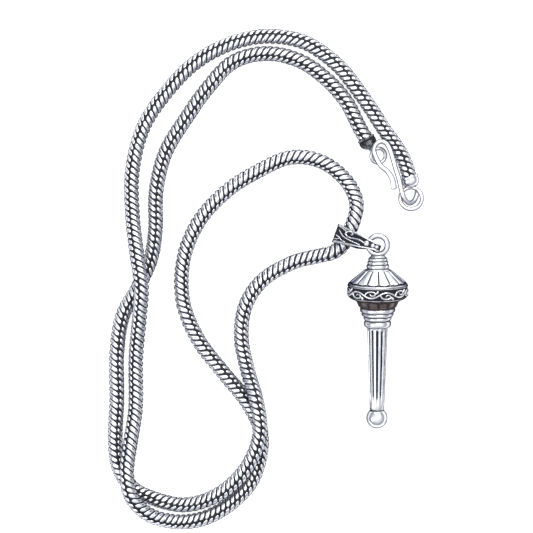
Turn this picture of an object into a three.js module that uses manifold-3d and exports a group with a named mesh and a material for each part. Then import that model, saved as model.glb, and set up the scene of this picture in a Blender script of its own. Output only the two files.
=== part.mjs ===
// A mace pendant on a snake-chain necklace: the chain with its end caps, an S-hook clasp between a jump
// ring and a closed ring, a folded strap bail round the chain, and a turned and fluted mace on the bail.
// Millimetres, +Z up. The necklace lies on the plane z = 0, +Y runs along the mace from its ball to its
// ring, and +X points away from the chain's loops. The pieces are laid out in a frame with the mace's axis
// over X = 0, then moved so that the origin is under the middle of all the pieces but the chain.
import * as THREE from "three";
import { mergeVertices } from "three/addons/utils/BufferGeometryUtils.js";
import Module from "manifold-3d";

const wasm = await Module();
wasm.setup();

// ---- Driving dimensions -------------------------------------------------------------------------------
const boxMiddle = [0.28, 1.06]; // of the box round all the pieces but the chain, in the laid-out frame

const chainRadius = 1.875;
const chainSides = 8;
const solderGap = 0.05; // between two pieces that are soldered or pressed together

const capRadius = 2.2;
const capWall = 0.2;
const capSleeve = 1.1; // how far the cap reaches back over the chain
const capDome = 1.9; // how far the dome reaches past the chain's end
const capFloor = 0.3; // of the cup, past the chain's end
const eyeRadius = 0.87; // of the wire eye on the left cap
const eyeWire = 0.3;

const jumpRingRadius = 1.85;
const jumpRingWire = 0.38;
const closedRingRadius = 2.7;
const closedRingWire = 0.5;
const hookWire = 0.6;

const bailWidth = 4.8; // at the chain
const bailTipWidth = 1.6;
const bailThickness = 0.5;
const bailFoldRadius = 2.7; // middle of the strap, round the chain's axis
const bailTipReach = 8.55; // from the chain's axis to the middle of the tip's fold
const bailHeading = -19.5; // degrees from +X
const bailAxisHeight = 3.0; // of the chain where it runs through the bail
const rimWire = 0.17;
const scrollWire = 0.2;
const sprigWire = 0.18;

const maceTilt = 8.9; // degrees; the mace lies on its head and its ball
const headRadius = 7.5;
const headAt = [0, -1.7, 7.53]; // the middle of the head's widest band
const ballRadius = 2.63;
const ringRadius = 2.31;
const ringWire = 0.69;
const pinRadius = 0.85;
const pinTop = 8.2; // in the neck; its foot is in the ball
const boreRadius = 0.9;

// Heights along the mace's axis, from the middle of the head's band.
const ringHeight = 11.84;
const neckTop = 9.25;
const neckFoot = 6.15;
const bandTop = 2.0;
const bandFoot = -1.5;
const bowlFoot = -3.68;
const collars = [
  ["mace_collar_upper", 4.4, -4.88], // name, radius, height of the foot
  ["mace_collar_middle", 4.0, -5.88],
  ["mace_collar_lower", 3.5, -6.87],
];
const shaftTop = -8.7;
const shaftFoot = -29.63;
const ballHeight = -31.65;

// ---- Materials ----------------------------------------------------------------------------------------
const oxidised = { color: 0x8d8f96, roughness: 0.42, metalness: 1 };
const bright = { color: 0xd9dce2, roughness: 0.22, metalness: 1 };
const worn = { color: 0xb4b6bb, roughness: 0.32, metalness: 1 };
const blackened = { color: 0x4b4542, roughness: 0.5, metalness: 1 };

// ---- The route of the chain, from the left cap to the right cap ---------------------------------------
const chainRoute = [
  [-2.3, 35.8, 2.25], [-4.4, 39.6, 1.95], [-7.8, 46.1, 1.9], [-13.0, 51.8, 1.9], [-19.5, 56.1, 1.9],
  [-27.6, 57.8, 1.9], [-35.8, 55.7, 1.9], [-42.1, 49.3, 1.9], [-47.6, 41.6, 1.9], [-52.6, 33.3, 1.9],
  [-55.0, 23.8, 1.9], [-55.2, 13.8, 1.9], [-56.3, 6.8, 1.9], [-59.6, -0.7, 1.9], [-63.3, -7.4, 1.9],
  [-64.8, -16.7, 1.9], [-64.8, -28.7, 1.9], [-65.2, -38.7, 1.9], [-64.2, -45.7, 1.9], [-60.6, -50.7, 1.9],
  [-55.1, -53.3, 1.9], [-48.3, -54.7, 2.0], [-41.6, -53.1, 2.9], [-35.3, -48.7, 4.5], [-31.0, -42.7, 5.6],
  [-29.1, -36.2, 5.85], [-30.1, -28.4, 5.4], [-32.2, -21.2, 2.7], [-33.8, -12.7, 1.9], [-32.7, -4.9, 1.9],
  [-28.6, 1.2, 1.9], [-20.8, 5.8, 1.9], [-14.4, 7.4, 2.0], [-11.1, 8.2, 2.7], [-8.6, 10.0, 3.0],
  [-7.7, 12.1, 3.0], [-5.9, 15.7, 2.8], [-5.1, 21.1, 1.95], [-8.2, 26.8, 1.9], [-14.3, 31.1, 1.9],
  [-21.6, 31.9, 1.9], [-29.3, 28.7, 1.9], [-37.1, 23.8, 1.9], [-44.3, 16.1, 1.9], [-48.2, 6.6, 1.9],
  [-48.3, -4.2, 1.9], [-44.6, -13.4, 1.9], [-38.3, -21.7, 1.9], [-32.6, -28.7, 1.9], [-29.2, -35.4, 1.9],
  [-28.9, -41.2, 1.9], [-31.2, -48.7, 1.9], [-36.5, -54.4, 1.9], [-43.2, -58.1, 1.9], [-50.1, -58.9, 1.9],
  [-56.8, -56.9, 3.9], [-61.0, -52.3, 5.6], [-62.1, -46.4, 5.85], [-61.3, -39.4, 4.3], [-60.1, -30.7, 2.3],
  [-60.0, -17.7, 2.0], [-59.0, -7.4, 4.1], [-58.5, -0.4, 5.85], [-59.6, 7.3, 5.0], [-60.9, 17.6, 2.1],
  [-60.9, 28.8, 1.9], [-58.1, 39.6, 1.9], [-52.3, 48.3, 1.9], [-45.1, 55.6, 1.9], [-36.1, 60.4, 1.9],
  [-27.3, 62.1, 1.9], [-18.1, 60.6, 1.9], [-10.0, 55.1, 1.9], [-3.7, 47.3, 1.9], [1.9, 38.8, 1.9],
  [6.4, 32.1, 1.95], [8.4, 26.1, 2.25],
];
const leftEnd = { at: chainRoute[0], heading: -62.3 }; // degrees from +X, the way the chain leaves
const rightEnd = { at: chainRoute[chainRoute.length - 1], heading: -71.6 };
const chainInBail = chainRoute[35];

// The S-hook's wire, from its open tip round the upper bowl, down the long arm, over the closed ring,
// through it and under its far side.
const hookRoute = [
  [4.2, 24.2, 3.6], [3.8, 26.4, 3.65], [2.7, 28.2, 3.7], [1.0, 29.7, 3.7], [-0.2, 31.7, 3.75],
  [-0.8, 33.7, 3.8], [-0.3, 35.1, 3.8], [0.9, 35.8, 3.8], [2.3, 35.3, 3.8], [3.2, 33.8, 3.75],
  [4.0, 31.3, 3.7], [4.7, 28.8, 3.65], [5.35, 26.8, 3.6], [5.8, 24.9, 3.6], [6.1, 23.6, 3.55],
  [6.5, 22.3, 3.5], [7.1, 21.2, 3.1], [8.15, 20.5, 2.4], [9.25, 21.05, 1.6], [9.9, 22.2, 1.1],
  [10.15, 23.6, 0.85],
];
const closedRingAt = [8.53, 21.7, 2.25];
const eyeReach = 2.75; // from the chain's end to the eye's centre
const eyeHeight = 1.6;
const jumpRingHeading = -35; // degrees from +X, from the eye to the ring's centre
const jumpRingDip = 19; // degrees, how far the ring's far side dips to the table

const wireSides = 8;
const ringSegments = 24;
const eyeSegments = 20;
const maceRingSides = 10;
const maceSegments = 32;

// ---- Helpers ------------------------------------------------------------------------------------------
const object = new THREE.Group();
const necklace = new THREE.Group();
necklace.position.set(-boxMiddle[0], -boxMiddle[1], 0);
object.add(necklace);

function addPiece(parent, name, geometry, look) {
  const mesh = new THREE.Mesh(geometry, new THREE.MeshStandardMaterial(look));
  mesh.name = name;
  parent.add(mesh);
  return mesh;
}

function circleShape(radius, sides) {
  const corners = [];
  for (let i = 0; i < sides; i++) {
    const angle = (2 * Math.PI * i) / sides;
    corners.push(new THREE.Vector2(radius * Math.cos(angle), radius * Math.sin(angle)));
  }
  return new THREE.Shape(corners);
}

// A round wire through a list of points; stepsPerPoint steps between each two of them.
function wire(points, radius, sides, stepsPerPoint) {
  const line = new THREE.CatmullRomCurve3(points.map((p) => new THREE.Vector3(...p)));
  line.getPointAt = line.getPoint; // steps follow the listed points, which lie closer together in bends
  line.getTangentAt = line.getTangent;
  return new THREE.ExtrudeGeometry(circleShape(radius, sides), {
    extrudePath: line,
    steps: (points.length - 1) * stepsPerPoint,
    bevelEnabled: false,
  });
}

// A turned piece from an outline of [radius, height] pairs; the axis is Y.
function turned(outline, segments) {
  return new THREE.LatheGeometry(outline.map(([r, y]) => new THREE.Vector2(r, y)), segments);
}

// A turned piece with the core pin's bore through it, from its outer outline, listed from the foot up.
function bored(outline, segments) {
  const foot = outline[0][1];
  const top = outline[outline.length - 1][1];
  return turned([[boreRadius, foot], ...outline, [boreRadius, top], [boreRadius, foot]], segments);
}

// Presses flutes into a turned piece's outside: depthAt(height) is the depth at the middle of a flute.
function flute(geometry, count, depthAt) {
  const insideTo = 1.2 * boreRadius; // the bore stays round
  const position = geometry.getAttribute("position");
  for (let i = 0; i < position.count; i++) {
    const x = position.getX(i);
    const z = position.getZ(i);
    const radius = Math.hypot(x, z);
    if (radius < insideTo) continue;
    const across = Math.abs(Math.sin((Math.atan2(x, z) * count) / 2));
    const kept = 1 - (depthAt(position.getY(i)) * (1 - across)) / radius;
    position.setX(i, x * kept);
    position.setZ(i, z * kept);
  }
  return geometry;
}

function solidOf(geometry) {
  const bare = geometry.clone();
  bare.deleteAttribute("normal");
  bare.deleteAttribute("uv");
  const merged = mergeVertices(bare, 1e-4);
  const vertProperties = merged.getAttribute("position").array;
  const triVerts = new Uint32Array(merged.index.array);
  return new wasm.Manifold(new wasm.Mesh({ numProp: 3, vertProperties, triVerts }));
}

function geometryOf(solid) {
  const mesh = solid.getMesh();
  const geometry = new THREE.BufferGeometry();
  geometry.setAttribute("position", new THREE.BufferAttribute(new Float32Array(mesh.vertProperties), 3));
  geometry.setIndex(new THREE.BufferAttribute(new Uint32Array(mesh.triVerts), 1));
  geometry.computeVertexNormals();
  return geometry;
}

const radians = THREE.MathUtils.degToRad;

// ---- Chain, end caps and clasp ------------------------------------------------------------------------
// A cup over a chain's end, its axis +Y, with the chain's end at its origin.
function capGeometry() {
  const bore = capRadius - capWall;
  const outline = [[0, capFloor], [bore, capFloor], [bore, -capSleeve], [capRadius, -capSleeve]];
  const domeSteps = 5;
  for (let i = 0; i < domeSteps; i++) {
    const angle = (0.5 * Math.PI * i) / domeSteps;
    outline.push([capRadius * Math.cos(angle), capDome * Math.sin(angle)]);
  }
  outline.push([0, capDome]);
  return turned(outline, ringSegments);
}

function placeAtEnd(mesh, end) {
  mesh.position.set(...end.at);
  mesh.rotation.z = radians(end.heading - 90);
}

function pointPast(end, reach, height) {
  const angle = radians(end.heading);
  return [end.at[0] + reach * Math.cos(angle), end.at[1] + reach * Math.sin(angle), height];
}

// The left cap has a wire eye soldered to its dome; the eye stands on edge and faces along the jump ring.
function leftCapGeometry() {
  const eye = new THREE.TorusGeometry(eyeRadius, eyeWire, wireSides, eyeSegments);
  eye.rotateX(Math.PI / 2);
  eye.rotateZ(radians(jumpRingHeading - leftEnd.heading + 90));
  eye.translate(0, eyeReach, eyeHeight - leftEnd.at[2]);
  return geometryOf(solidOf(capGeometry()).add(solidOf(eye)));
}

// The right cap has a saddle in its dome, in which the closed ring is soldered.
function rightCapGeometry() {
  const saddleWire = closedRingWire + solderGap;
  const saddle = new THREE.TorusGeometry(closedRingRadius, saddleWire, wireSides, ringSegments);
  const cap = new THREE.Object3D();
  placeAtEnd(cap, rightEnd);
  cap.updateMatrixWorld();
  saddle.translate(...closedRingAt);
  saddle.applyMatrix4(cap.matrixWorld.clone().invert());
  return geometryOf(solidOf(capGeometry()).subtract(solidOf(saddle)));
}

function buildChain() {
  addPiece(necklace, "snake_chain", wire(chainRoute, chainRadius, chainSides, 1), oxidised);
  placeAtEnd(addPiece(necklace, "left_end_cap", leftCapGeometry(), blackened), leftEnd);
  placeAtEnd(addPiece(necklace, "right_end_cap", rightCapGeometry(), bright), rightEnd);
  const closedRing = new THREE.TorusGeometry(closedRingRadius, closedRingWire, wireSides, ringSegments);
  addPiece(necklace, "closed_ring", closedRing, bright).position.set(...closedRingAt);
}

function buildClasp() {
  addPiece(necklace, "s_hook", wire(hookRoute, hookWire, wireSides, 2), bright);
  const turn = new THREE.Group();
  turn.position.set(...pointPast(leftEnd, eyeReach, eyeHeight));
  turn.rotation.z = radians(jumpRingHeading);
  const dip = new THREE.Group();
  dip.rotation.y = radians(jumpRingDip);
  turn.add(dip);
  necklace.add(turn);
  const jumpRing = new THREE.TorusGeometry(jumpRingRadius, jumpRingWire, wireSides, ringSegments);
  addPiece(dip, "jump_ring", jumpRing, bright).position.x = jumpRingRadius;
}

// ---- Bail ---------------------------------------------------------------------------------------------
// The bail's own frame: X along the strap from the chain's axis, Y across it along the chain, Z up.
// Its side outline is one closed loop: round the chain, up the front leaf, over the mace's ring, round
// the tip's fold inside the ring, and back down the rear leaf.
function bailOutline() {
  const points = [];
  for (const angle of [300, 270, 240, 210, 180, 150]) {
    const turn = radians(angle);
    const x = bailFoldRadius * Math.cos(turn);
    points.push([x, bailAxisHeight + bailFoldRadius * Math.sin(turn)]);
  }
  const frontLeaf = [[-0.95, 5.9], [0.9, 7.7], [3.2, 9.45], [5.6, 10.45], [7.5, 10.6]];
  const tipFold = [[8.35, 10.2], [bailTipReach, 9.4], [7.9, 8.55]];
  const rearLeaf = [[6.2, 7.8], [4.7, 6.5], [3.5, 4.5], [2.5, 2.0]];
  points.push(...frontLeaf, ...tipFold, ...rearLeaf);
  return points;
}
const bailLoop = new THREE.CatmullRomCurve3(
  bailOutline().map(([x, z]) => new THREE.Vector3(x, 0, z)),
  true,
);
const bailLoopPoints = 18;
const frontStart = 4 / bailLoopPoints; // where the loop turns up off the chain
const frontEnd = 11 / bailLoopPoints; // where it turns down into the tip's fold
const rearStart = 14 / bailLoopPoints; // where the rear leaf starts back down
const rearShift = -0.4; // the rear leaf lies a little to one side, so it shows beside the front leaf

function bailHalfWidth(x) {
  const share = THREE.MathUtils.clamp((x + bailFoldRadius) / (bailTipReach + bailFoldRadius), 0, 1);
  return (bailWidth + (bailTipWidth - bailWidth) * share) / 2;
}

function bailShift(t) {
  return t > rearStart ? rearShift * Math.sin((Math.PI * (t - rearStart)) / (1 - rearStart)) : 0;
}

// A point on the strap: t runs round the loop, across is the distance from its middle line, and lift is
// the height over its outer face.
function bailPoint(t, across, lift) {
  const at = bailLoop.getPoint(t);
  const along = bailLoop.getTangent(t);
  const out = bailThickness / 2 + lift;
  return [at.x - along.z * out, across + bailShift(t), at.z + along.x * out];
}

function strapGeometry() {
  const rings = 2 * bailLoopPoints;
  const corners = [];
  for (let i = 0; i < rings; i++) {
    const t = i / rings;
    const half = bailHalfWidth(bailLoop.getPoint(t).x);
    corners.push(bailPoint(t, half, 0), bailPoint(t, -half, 0));
    corners.push(bailPoint(t, -half, -bailThickness), bailPoint(t, half, -bailThickness));
  }
  const faces = [];
  for (let i = 0; i < rings; i++) {
    for (let side = 0; side < 4; side++) {
      const a = 4 * i + side;
      const b = 4 * i + ((side + 1) % 4);
      const c = 4 * ((i + 1) % rings) + ((side + 1) % 4);
      const d = 4 * ((i + 1) % rings) + side;
      faces.push(a, b, c, a, c, d);
    }
  }
  const geometry = new THREE.BufferGeometry();
  geometry.setAttribute("position", new THREE.Float32BufferAttribute(corners.flat(), 3));
  geometry.setIndex(faces);
  geometry.computeVertexNormals();
  return geometry;
}

// The loop's t where its front leaf is at distance x from the chain's axis.
function frontAt(x) {
  let low = frontStart;
  let high = frontEnd;
  for (let i = 0; i < 20; i++) {
    const middle = (low + high) / 2;
    if (bailLoop.getPoint(middle).x < x) low = middle;
    else high = middle;
  }
  return low;
}

// A raised line on the front leaf through [x, across] pairs.
function raisedLine(pairs, radius) {
  const points = pairs.map(([x, across]) => bailPoint(frontAt(x), across, radius + solderGap));
  return wire(points, radius, 6, 2);
}

function rimLine(side) {
  const start = -2.3;
  const end = bailTipReach - 0.75;
  const steps = 7;
  const pairs = [];
  for (let i = 0; i <= steps; i++) {
    const x = start + (i * (end - start)) / steps;
    pairs.push([x, side * (bailHalfWidth(x) - rimWire)]);
  }
  return pairs;
}

// A low round bead with a flat back.
function beadGeometry(radius) {
  const height = 0.75 * radius;
  const outline = [[0, 0], [radius, 0]];
  const steps = 3;
  for (let i = 1; i < steps; i++) {
    const angle = (0.5 * Math.PI * i) / steps;
    outline.push([radius * Math.cos(angle), height * Math.sin(angle)]);
  }
  outline.push([0, height]);
  return turned(outline, 12);
}

function placeOnLeaf(mesh, x, across) {
  const t = frontAt(x);
  const slope = bailLoop.getTangent(t);
  mesh.position.set(...bailPoint(t, across, solderGap));
  mesh.rotation.order = "YXZ";
  mesh.rotation.set(Math.PI / 2, -Math.atan2(slope.z, slope.x), 0);
}

function buildBail() {
  const bail = new THREE.Group();
  bail.position.set(chainInBail[0], chainInBail[1], 0);
  bail.rotation.z = radians(bailHeading);
  necklace.add(bail);
  addPiece(bail, "bail_strap", strapGeometry(), worn);
  addPiece(bail, "bail_rim_upper", raisedLine(rimLine(1), rimWire), bright);
  addPiece(bail, "bail_rim_lower", raisedLine(rimLine(-1), rimWire), bright);
  const scroll = [[3.4, -0.35], [2.0, -0.15], [0.7, 0.1], [0.35, 0.75], [1.1, 1.15], [1.75, 0.8]];
  addPiece(bail, "bail_scroll", raisedLine(scroll, scrollWire), bright);
  const leafSprig = [[3.2, -0.95], [1.6, -1.0], [0.2, -0.8], [-0.9, -0.2]];
  addPiece(bail, "bail_leaf_sprig", raisedLine(leafSprig, sprigWire), bright);
  const beads = [
    ["bail_bead_large", 5.1, 0.72],
    ["bail_bead_middle", 6.62, 0.56],
    ["bail_bead_small", 7.68, 0.42],
  ];
  for (const [name, x, radius] of beads) {
    placeOnLeaf(addPiece(bail, name, beadGeometry(radius), bright), x, 0);
  }
}

// ---- Mace ---------------------------------------------------------------------------------------------
// Stacked turned pieces on a core pin, the axis +Y in the mace's own frame, listed from the foot up.
function neckGeometry() {
  const outline = [
    [2.85, neckFoot], [2.85, 6.9], [2.6, 7.0], [2.6, 7.85], [2.35, 7.95], [2.35, 8.75], [1.7, neckTop],
  ];
  const saddle = new THREE.TorusGeometry(ringRadius, ringWire + solderGap, maceRingSides, maceSegments);
  saddle.translate(0, ringHeight, 0);
  return geometryOf(solidOf(bored(outline, maceSegments)).subtract(solidOf(saddle)));
}

function domeGeometry() {
  const foot = bandTop + solderGap;
  const top = neckFoot - solderGap;
  const outline = [[7.3, foot], [7.15, 2.4], [6.0, 3.3], [4.6, 4.4], [3.4, 5.5], [2.9, top]];
  const gadroons = 14;
  const depth = 0.32;
  const rimTop = 2.6;
  const fluteTop = 5.4;
  return flute(bored(outline, 6 * gadroons), gadroons, (y) => (y > rimTop && y < fluteTop ? depth : 0));
}

function bandGeometry() {
  const outline = [
    [6.6, bandFoot], [7.15, -1.15], [7.3, -0.9], [headRadius, 0.1], [7.4, 1.2], [7.3, 1.7], [7.3, bandTop],
  ];
  return bored(outline, 1.5 * maceSegments);
}

function bowlGeometry() {
  const top = bandFoot - solderGap;
  const outline = [[4.35, bowlFoot], [4.6, -3.3], [5.2, -2.4], [5.65, -1.85], [6.3, top]];
  const panels = 12;
  const depth = 0.3;
  const panelTop = -2.0;
  const panelFoot = -3.5;
  return flute(bored(outline, 5 * panels), panels, (y) => (y < panelTop && y > panelFoot ? depth : 0));
}

function collarGeometry(radius, foot, top) {
  const bevel = 0.18;
  const inner = radius - bevel;
  const outline = [[inner, foot], [radius, foot + bevel], [radius, top - bevel], [inner, top]];
  return bored(outline, maceSegments);
}

function knopGeometry(top) {
  const outline = [[2.9, shaftTop + solderGap], [3.3, -8.2], [3.4, -7.7], [3.2, -7.2], [2.95, top]];
  return bored(outline, maceSegments);
}

function shaftGeometry() {
  const plainFrom = -28.3;
  const outline = [[1.8, shaftFoot], [1.85, plainFrom], [2.2, -19.0], [2.5, -10.0], [2.56, shaftTop]];
  const flutes = 12;
  const depth = 0.22;
  const fade = 0.008; // of the flutes' depth for each millimetre down the shaft
  const depthAt = (y) => (y > plainFrom ? depth + fade * (y - shaftTop) : 0);
  return flute(bored(outline, 5 * flutes), flutes, depthAt);
}

// The ball is blind: the core pin ends inside it.
function ballGeometry() {
  const outline = [[0, ballHeight - ballRadius]];
  const steps = 9;
  const seatRadius = 1.75; // of the flat on which the shaft stands
  const last = Math.acos(seatRadius / ballRadius);
  for (let i = 1; i <= steps; i++) {
    const angle = -Math.PI / 2 + (i * (Math.PI / 2 + last)) / steps;
    outline.push([ballRadius * Math.cos(angle), ballHeight + ballRadius * Math.sin(angle)]);
  }
  const seat = outline[outline.length - 1][1];
  outline.push([boreRadius, seat], [boreRadius, ballHeight], [0, ballHeight]);
  return turned(outline, 24);
}

function buildMace() {
  const mace = new THREE.Group();
  mace.position.set(...headAt);
  mace.rotation.x = radians(maceTilt);
  necklace.add(mace);
  const ring = new THREE.TorusGeometry(ringRadius, ringWire, maceRingSides, maceSegments);
  addPiece(mace, "mace_ring", ring, bright).position.y = ringHeight;
  addPiece(mace, "mace_neck", neckGeometry(), worn);
  addPiece(mace, "mace_dome", domeGeometry(), worn);
  addPiece(mace, "mace_band", bandGeometry(), worn);
  addPiece(mace, "mace_bowl", bowlGeometry(), blackened);
  let top = bowlFoot - solderGap;
  for (const [name, radius, foot] of collars) {
    addPiece(mace, name, collarGeometry(radius, foot, top), worn);
    top = foot - solderGap;
  }
  addPiece(mace, "mace_knop", knopGeometry(top), bright);
  addPiece(mace, "mace_shaft", shaftGeometry(), worn);
  addPiece(mace, "mace_ball", ballGeometry(), bright);
  const pinFoot = ballHeight + solderGap;
  const pin = new THREE.CylinderGeometry(pinRadius, pinRadius, pinTop - pinFoot, maceSegments / 2);
  addPiece(mace, "mace_core_pin", pin, worn).position.y = (pinTop + pinFoot) / 2;
}

buildChain();
buildClasp();
buildBail();
buildMace();

export default object;
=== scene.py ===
"""Looks of the mace pendant on its snake chain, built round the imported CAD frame. Metres."""

import math
import random

import bpy
import numpy as np
from mathutils import Matrix, Vector


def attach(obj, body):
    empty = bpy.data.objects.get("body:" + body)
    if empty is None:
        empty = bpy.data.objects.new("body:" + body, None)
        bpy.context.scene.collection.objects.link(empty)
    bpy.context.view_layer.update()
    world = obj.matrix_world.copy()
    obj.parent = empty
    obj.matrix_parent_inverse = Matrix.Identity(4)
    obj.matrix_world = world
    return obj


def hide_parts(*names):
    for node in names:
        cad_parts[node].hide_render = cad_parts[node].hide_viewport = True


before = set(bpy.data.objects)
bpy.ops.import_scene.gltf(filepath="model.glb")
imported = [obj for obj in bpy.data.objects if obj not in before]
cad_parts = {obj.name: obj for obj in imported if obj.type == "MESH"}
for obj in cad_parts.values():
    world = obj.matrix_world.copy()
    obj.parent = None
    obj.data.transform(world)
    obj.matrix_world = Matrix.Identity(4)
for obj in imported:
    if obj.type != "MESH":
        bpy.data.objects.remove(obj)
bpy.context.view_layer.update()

# The pieces are laid out with the mace's axis over X = 0; the CAD frame's origin is a little beside it.
BOX_MIDDLE = Vector((0.00028, 0.00106, 0.0))

# ---- Chain --------------------------------------------------------------------------------------------
CHAIN_RADIUS = 0.001875
CHAIN_CORE = 0.00155  # radius of the dark inside that shows between the links
CHAIN_PITCH = 0.00150
CHAIN_COLUMNS = 3
CHAIN_SLANT = 0.52  # how far a link runs along the chain for each unit it runs across
CHAIN_SIDES = 12
LINK_POINTS = 16  # round a link's outline
LINK_HALF_ANGLE = 0.95 * math.pi / CHAIN_COLUMNS
LINK_HALF_WIDTH = 0.43 * CHAIN_PITCH
CURVE_STEPS = 24  # between two points of the route
PATH_STEP = 0.004  # of the path down the chain's middle
# A link's dome: share of its outline, share of its height, relief.
LINK_RINGS = [
    (0.0, 0.86, 0.1), (0.16, 0.93, 0.35), (0.34, 1.0, 1.0), (0.62, 0.98, 1.0),
    (0.84, 0.72, 0.80), (0.97, 0.20, 0.15), (1.0, -0.3, 0.0),
]
# Where the line between two columns of links lies, in degrees to the left of the top, at points of the
# route.
CHAIN_TWIST = [
    (0, 25), (5, 20), (11, 6), (16, 20), (19, 12), (22, -20), (28, -25), (32, -50), (35, -75), (38, -92),
    (44, -100), (48, -115), (53, -120), (58, -80), (62, -95), (70, -100), (76, -115),
]
# The cord's route from the left cap to the right cap.
CHAIN_ROUTE = [
    (-0.0023, 0.0358, 0.00225), (-0.0044, 0.0396, 0.00195), (-0.0078, 0.0461, 0.0019),
    (-0.0130, 0.0518, 0.0019), (-0.0195, 0.0561, 0.0019), (-0.0276, 0.0578, 0.0019),
    (-0.0358, 0.0557, 0.0019), (-0.0421, 0.0493, 0.0019), (-0.0476, 0.0416, 0.0019),
    (-0.0526, 0.0333, 0.0019), (-0.0550, 0.0238, 0.0019), (-0.0552, 0.0138, 0.0019),
    (-0.0563, 0.0068, 0.0019), (-0.0596, -0.0007, 0.0019), (-0.0633, -0.0074, 0.0019),
    (-0.0648, -0.0167, 0.0019), (-0.0648, -0.0287, 0.0019), (-0.0652, -0.0387, 0.0019),
    (-0.0642, -0.0457, 0.0019), (-0.0606, -0.0507, 0.0019), (-0.0551, -0.0533, 0.0019),
    (-0.0483, -0.0547, 0.0020), (-0.0416, -0.0531, 0.0029), (-0.0353, -0.0487, 0.0045),
    (-0.0310, -0.0427, 0.0056), (-0.0291, -0.0362, 0.00585), (-0.0301, -0.0284, 0.0054),
    (-0.0322, -0.0212, 0.0027), (-0.0338, -0.0127, 0.0019), (-0.0327, -0.0049, 0.0019),
    (-0.0286, 0.0012, 0.0019), (-0.0208, 0.0058, 0.0019), (-0.0144, 0.0074, 0.0020),
    (-0.0111, 0.0082, 0.0027), (-0.0086, 0.0100, 0.0030), (-0.0077, 0.0121, 0.0030),
    (-0.0059, 0.0157, 0.0028), (-0.0051, 0.0211, 0.00195), (-0.0082, 0.0268, 0.0019),
    (-0.0143, 0.0311, 0.0019), (-0.0216, 0.0319, 0.0019), (-0.0293, 0.0287, 0.0019),
    (-0.0371, 0.0238, 0.0019), (-0.0443, 0.0161, 0.0019), (-0.0482, 0.0066, 0.0019),
    (-0.0483, -0.0042, 0.0019), (-0.0446, -0.0134, 0.0019), (-0.0383, -0.0217, 0.0019),
    (-0.0326, -0.0287, 0.0019), (-0.0292, -0.0354, 0.0019), (-0.0289, -0.0412, 0.0019),
    (-0.0312, -0.0487, 0.0019), (-0.0365, -0.0544, 0.0019), (-0.0432, -0.0581, 0.0019),
    (-0.0501, -0.0589, 0.0019), (-0.0568, -0.0569, 0.0039), (-0.0610, -0.0523, 0.0056),
    (-0.0621, -0.0464, 0.00585), (-0.0613, -0.0394, 0.0043), (-0.0601, -0.0307, 0.0023),
    (-0.0600, -0.0177, 0.0020), (-0.0590, -0.0074, 0.0041), (-0.0585, -0.0004, 0.00585),
    (-0.0596, 0.0073, 0.0050), (-0.0609, 0.0176, 0.0021), (-0.0609, 0.0288, 0.0019),
    (-0.0581, 0.0396, 0.0019), (-0.0523, 0.0483, 0.0019), (-0.0451, 0.0556, 0.0019),
    (-0.0361, 0.0604, 0.0019), (-0.0273, 0.0621, 0.0019), (-0.0181, 0.0606, 0.0019),
    (-0.0100, 0.0551, 0.0019), (-0.0037, 0.0473, 0.0019), (0.0019, 0.0388, 0.0019),
    (0.0064, 0.0321, 0.00195), (0.0084, 0.0261, 0.00225),
]
BAIL_POINT = 35  # the point of the route inside the bail
LEFT_HEADING = math.radians(-62.3)
RIGHT_HEADING = math.radians(-71.6)

# ---- Clasp --------------------------------------------------------------------------------------------
# A cap is a sleeve over the chain's end and a dome. The left one has a small wire eye.
CAP_RADIUS = 0.0022
CAP_SLEEVE = 0.0011
CAP_DOME = 0.0019
EYE_RADIUS = 0.00087
EYE_WIRE = 0.0003
EYE_REACH = 0.00275
EYE_HEIGHT = 0.0016
JUMP_RING_RADIUS = 0.00185
JUMP_RING_WIRE = 0.00044
JUMP_RING_HEADING = math.radians(-35)
JUMP_RING_DIP = math.radians(19)
CLOSED_RING_AT = Vector((0.00853, 0.0217, 0.00225))
CLOSED_RING_RADIUS = 0.0027
CLOSED_RING_WIRE = 0.0005
HOOK_WIRE = 0.0006
HOOK_WIDE_SHARE = 0.14  # of the hook's length, over which its open tip widens
HOOK_FLAT_SHARE = 0.12  # and flattens
# From the open tip, over the jump ring, down to the closed ring and round its wire.
HOOK_ROUTE = [
    (0.0042, 0.0242, 0.0036), (0.0038, 0.0264, 0.00365), (0.0027, 0.0282, 0.0037),
    (0.0010, 0.0297, 0.0037), (-0.0002, 0.0317, 0.00375), (-0.0008, 0.0337, 0.0038),
    (-0.0003, 0.0351, 0.0038), (0.0009, 0.0358, 0.0038), (0.0023, 0.0353, 0.0038),
    (0.0032, 0.0338, 0.00375), (0.0040, 0.0313, 0.0037), (0.0047, 0.0288, 0.00365),
    (0.00535, 0.0268, 0.0036), (0.0058, 0.0249, 0.0036), (0.0061, 0.0236, 0.00355),
    (0.0065, 0.0223, 0.0035), (0.0071, 0.0212, 0.0031), (0.00815, 0.0205, 0.0024),
    (0.00925, 0.02105, 0.0016), (0.0099, 0.0222, 0.0011), (0.01015, 0.0236, 0.00085),
]

# ---- Bail ---------------------------------------------------------------------------------------------
BAIL_HEADING = math.radians(-19.5)
BAIL_AXIS_HEIGHT = 0.0030
BAIL_FOLD_RADIUS = 0.0027
BAIL_THICKNESS = 0.0005
BAIL_WIDTH = 0.0048
BAIL_TIP_WIDTH = 0.0016
BAIL_TIP_REACH = 0.00855
BAIL_FOLD_ANGLES = [300, 270, 240, 210, 180, 150]
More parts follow.
